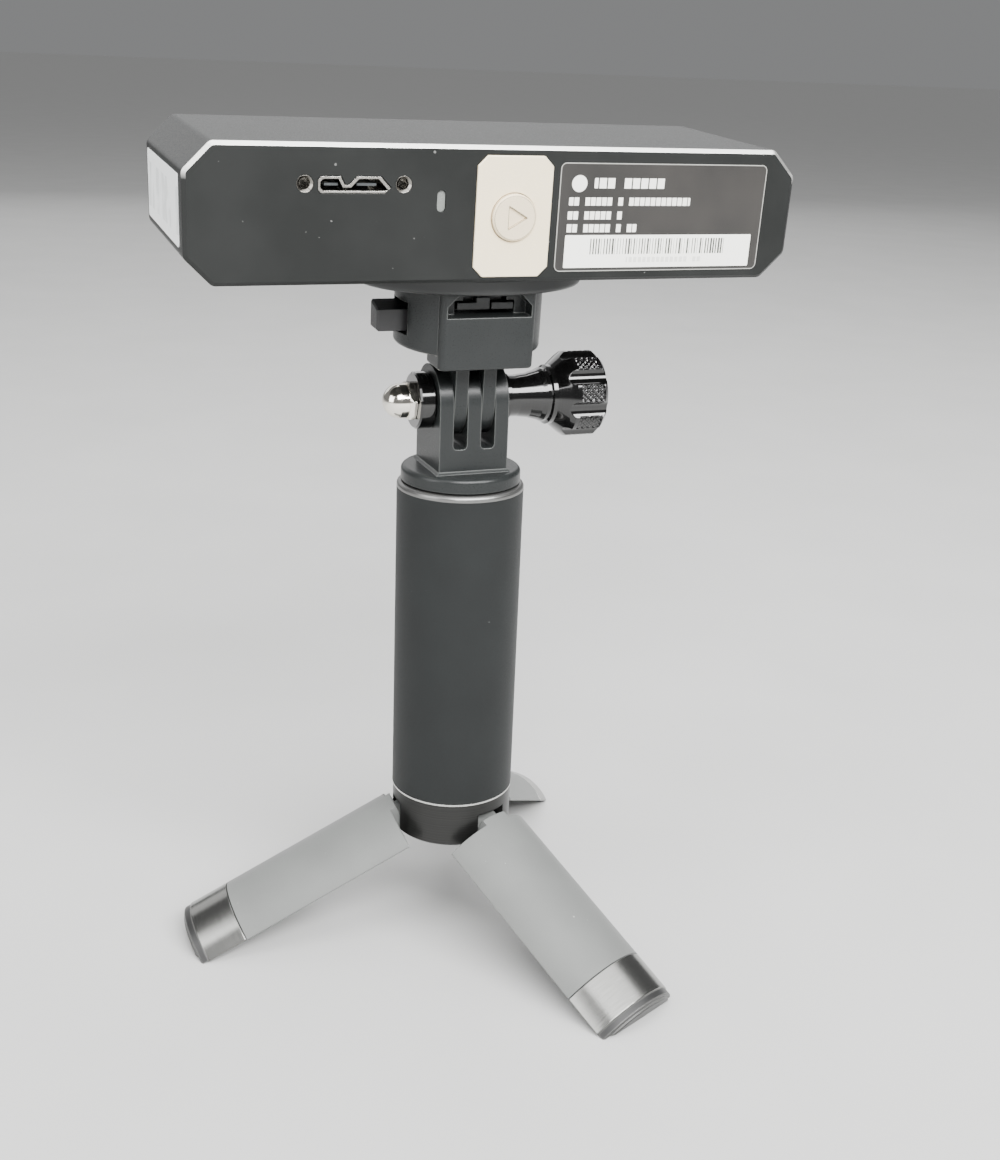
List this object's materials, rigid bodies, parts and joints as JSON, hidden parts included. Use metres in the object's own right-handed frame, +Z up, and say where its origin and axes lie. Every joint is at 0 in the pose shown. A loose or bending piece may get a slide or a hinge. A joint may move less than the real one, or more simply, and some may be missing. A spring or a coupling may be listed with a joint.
{
  "type": "handheld scanner",
  "caption": "Handheld optical scanner bar on a quick-release tilt clamp and a grip handle that opens into a short folding tripod.",
  "frame": {"origin": "centre of the floor rectangle the part covers, on the floor, legs open", "axes": "+Z up along the grip; +X along the scanner's length, to the right of someone facing its button; +Y the way its lenses look"},
  "size_m": [0.1216, 0.112, 0.177],
  "materials": {
    "case_metal": "satin black-grey anodised",
    "silver_plate": "brushed warm silver",
    "bench_metal": "machined",
    "plate_metal": "black anodised",
    "gunmetal": "satin gunmetal anodised",
    "bright_ring": "bright turned edge",
    "tube": "plain drawn tube",
    "soft_grip": "soft-touch matte black",
    "leg_plastic": "fine matte grey",
    "mount_plastic": "satin dark grey",
    "plastic_black": "matte black",
    "anodised_black": "glossy black anodised",
    "chrome": "polished",
    "steel": "plain turned",
    "brass": "plain turned",
    "rubber": "matte",
    "dark_glass": "gloss black window",
    "lens_glass": "coated lens",
    "lamp_plastic": "clear to milky",
    "board": "solder-masked board",
    "label_film": "dark brown-grey film",
    "white_label": "white sticker"
  },
  "bodies": {
    "grip": {"grip_tube": "tube", "grip_sleeve": "soft_grip", "top_plug": "gunmetal", "mount_stud": "steel", "trim_ring": "bright_ring", "leg_hub": "gunmetal", "pin_retainer": "plastic_black", "retainer_screw": "steel", "hinge_pins": "steel"},
    "leg_left": {"leg_left": "leg_plastic", "tip_left": "gunmetal", "foot_left": "rubber"},
    "leg_front": {"leg_front": "leg_plastic", "tip_front": "gunmetal", "foot_front": "rubber"},
    "leg_rear": {"leg_rear": "leg_plastic", "tip_rear": "gunmetal", "foot_rear": "rubber"},
    "pan_mount": {"finger_mount": "mount_plastic", "mount_insert": "brass", "nut_collar": "anodised_black", "acorn_nut": "chrome", "pan_washer": "rubber"},
    "clamp": {"clamp_screw": "steel", "clamp_knob": "anodised_black"},
    "quick_release": {"release_base": "mount_plastic", "release_spring": "steel"},
    "release_latch": {"release_button": "plastic_black", "latch_bar": "plastic_black"},
    "scanner": {"case_shell": "case_metal", "front_bezel": "plastic_black", "front_glass": "dark_glass", "optical_bench": "bench_metal", "depth_camera_left": "plastic_black", "depth_camera_right": "plastic_black", "depth_lenses": "lens_glass", "projector": "plastic_black", "projector_lens": "lens_glass", "colour_camera": "plastic_black", "colour_lens": "lens_glass", "fill_lights": "lamp_plastic", "main_board": "board", "vision_processor": "plastic_black", "heat_spreader": "bench_metal", "board_screws": "steel", "usb_socket": "steel", "usb_tongue": "plastic_black", "cable_lock_inserts": "steel", "status_light": "lamp_plastic", "button_plate": "silver_plate", "button_switch": "plastic_black", "rating_label": "label_film", "barcode_strip": "white_label", "end_label": "white_label", "tripod_insert": "brass", "plate_pad": "rubber", "mount_plate": "plate_metal", "camera_screw": "steel"},
    "trigger": {"scan_button": "silver_plate"}
  },
  "joints": [
    {"name": "fold_left", "type": "hinge", "parent": "grip", "child": "leg_left", "pos_m": [-0.00791, 0.0027, 0.02675], "axis": [-0.0872, -0.9962, 0], "range_deg": [0, 62.7]},
    {"name": "fold_front", "type": "hinge", "parent": "grip", "child": "leg_front", "pos_m": [0.00334, -0.0053, 0.02675], "axis": [0.9121, 0.4099, 0], "range_deg": [0, 62.7]},
    {"name": "fold_rear", "type": "hinge", "parent": "grip", "child": "leg_rear", "pos_m": [0.00468, 0.00853, 0.02675], "axis": [-0.8166, 0.5771, 0], "range_deg": [0, 62.7]},
    {"name": "pan", "type": "hinge", "parent": "grip", "child": "pan_mount", "pos_m": [0.00006, 0.002, 0.11], "axis": [0, 0, 1], "range_deg": [-180, 180]},
    {"name": "tilt", "type": "hinge", "parent": "pan_mount", "child": "quick_release", "pos_m": [0.00006, 0.002, 0.1224], "axis": [1, 0, 0], "range_deg": [-88.75, 81.25]},
    {"name": "clamp_turn", "type": "hinge", "parent": "pan_mount", "child": "clamp", "pos_m": [0.00006, 0.002, 0.1224], "axis": [1, 0, 0], "range_deg": [0, 720]},
    {"name": "latch_press", "type": "slide", "parent": "quick_release", "child": "release_latch", "axis": [1, 0, 0], "range_m": [0, 0.002], "stiffness_N_per_m": 500, "springref_m": -0.001, "deforming": ["release_spring"]},
    {"name": "plate_slide", "type": "slide", "parent": "quick_release", "child": "scanner", "axis": [0, 0.9979, 0.0654], "range_m": [0, 0.03]},
    {"name": "trigger_press", "type": "slide", "parent": "scanner", "child": "trigger", "axis": [0, 0.9979, 0.0654], "range_m": [0, 0.0005], "stiffness_N_per_m": 900, "springref_m": -0.0004}
  ]
}
